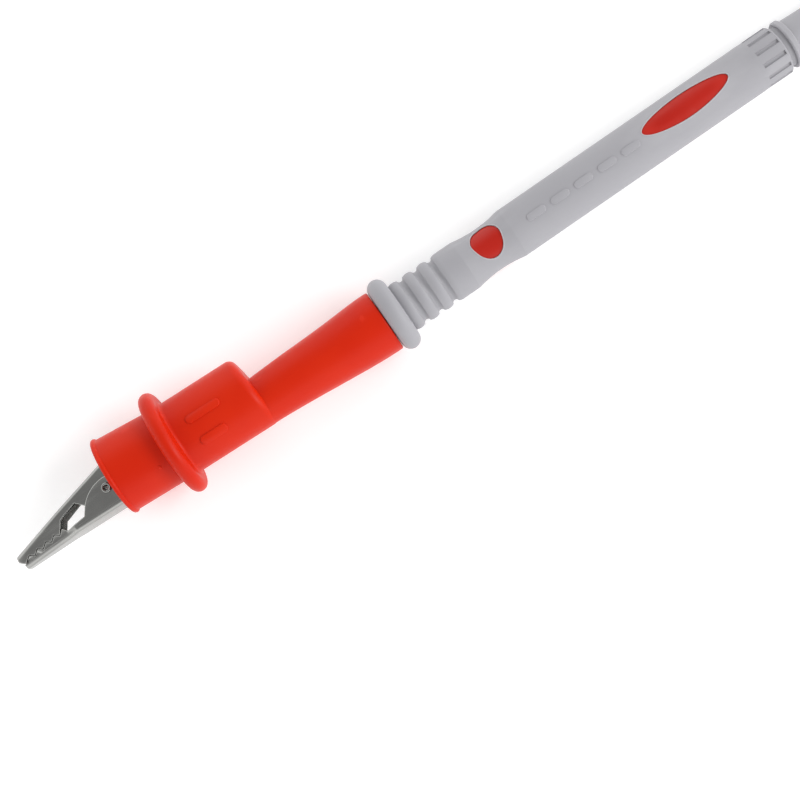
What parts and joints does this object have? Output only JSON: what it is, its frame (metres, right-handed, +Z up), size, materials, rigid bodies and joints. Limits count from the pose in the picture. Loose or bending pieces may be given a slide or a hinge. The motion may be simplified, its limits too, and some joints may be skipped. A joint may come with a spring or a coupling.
{
  "type": "alligator clip test lead",
  "caption": "Insulated alligator clip with sprung steel jaws, slipped over the tip of a hand-held test probe that has a finger guard and a cable strain relief.",
  "frame": {"origin": "under the middle of the whole lead, level with the lowest point of the boot's hand guard", "axes": "+X along the lead from the jaw tips to the cable end, +Y towards the thumb-lever side, +Z up, parallel to the jaw pivot"},
  "size_m": [0.1934, 0.0216, 0.0189],
  "materials": {
    "grip_grey": "soft matte overmould",
    "relief_grey": "soft matte",
    "core_red": "satin",
    "inlay_red": "satin",
    "boot_red": "satin vinyl",
    "plated_steel": "nickel plated sheet",
    "spring_steel": "plated wire",
    "plated_brass": "nickel plated",
    "plain_brass": "bare"
  },
  "bodies": {
    "probe": {"grip_sleeve": "grip_grey", "handle_core": "core_red", "probe_pin": "plated_brass", "crimp_barrel": "plain_brass", "strain_relief": "relief_grey", "front_inlay_top": "inlay_red", "front_inlay_bottom": "inlay_red", "rear_inlay_top": "inlay_red", "rear_inlay_bottom": "inlay_red"},
    "contact_sleeve": {"contact_sleeve": "plain_brass"},
    "clip": {"boot": "boot_red", "lower_jaw": "plated_steel", "pivot_rivet": "plated_steel", "torsion_spring": "spring_steel", "socket_barrel": "plated_brass"},
    "upper_jaw": {"upper_jaw": "plated_steel"}
  },
  "joints": [
    {"name": "clip_slide", "type": "slide", "parent": "probe", "child": "contact_sleeve", "axis": [-1, 0, 0], "range_m": [0, 0.034]},
    {"name": "clip_spin", "type": "hinge", "parent": "contact_sleeve", "child": "clip", "pos_m": [-0.04127, -0.00345, 0.00943], "axis": [1, 0, 0], "continuous": true},
    {"name": "jaw_hinge", "type": "hinge", "parent": "clip", "child": "upper_jaw", "pos_m": [-0.07522, -0.00035, 0.00943], "axis": [0, 0, -1], "range_deg": [0, 20], "stiffness_Nm_per_rad": 0.04, "springref_deg": -57.3, "deforming": ["torsion_spring"]}
  ]
}
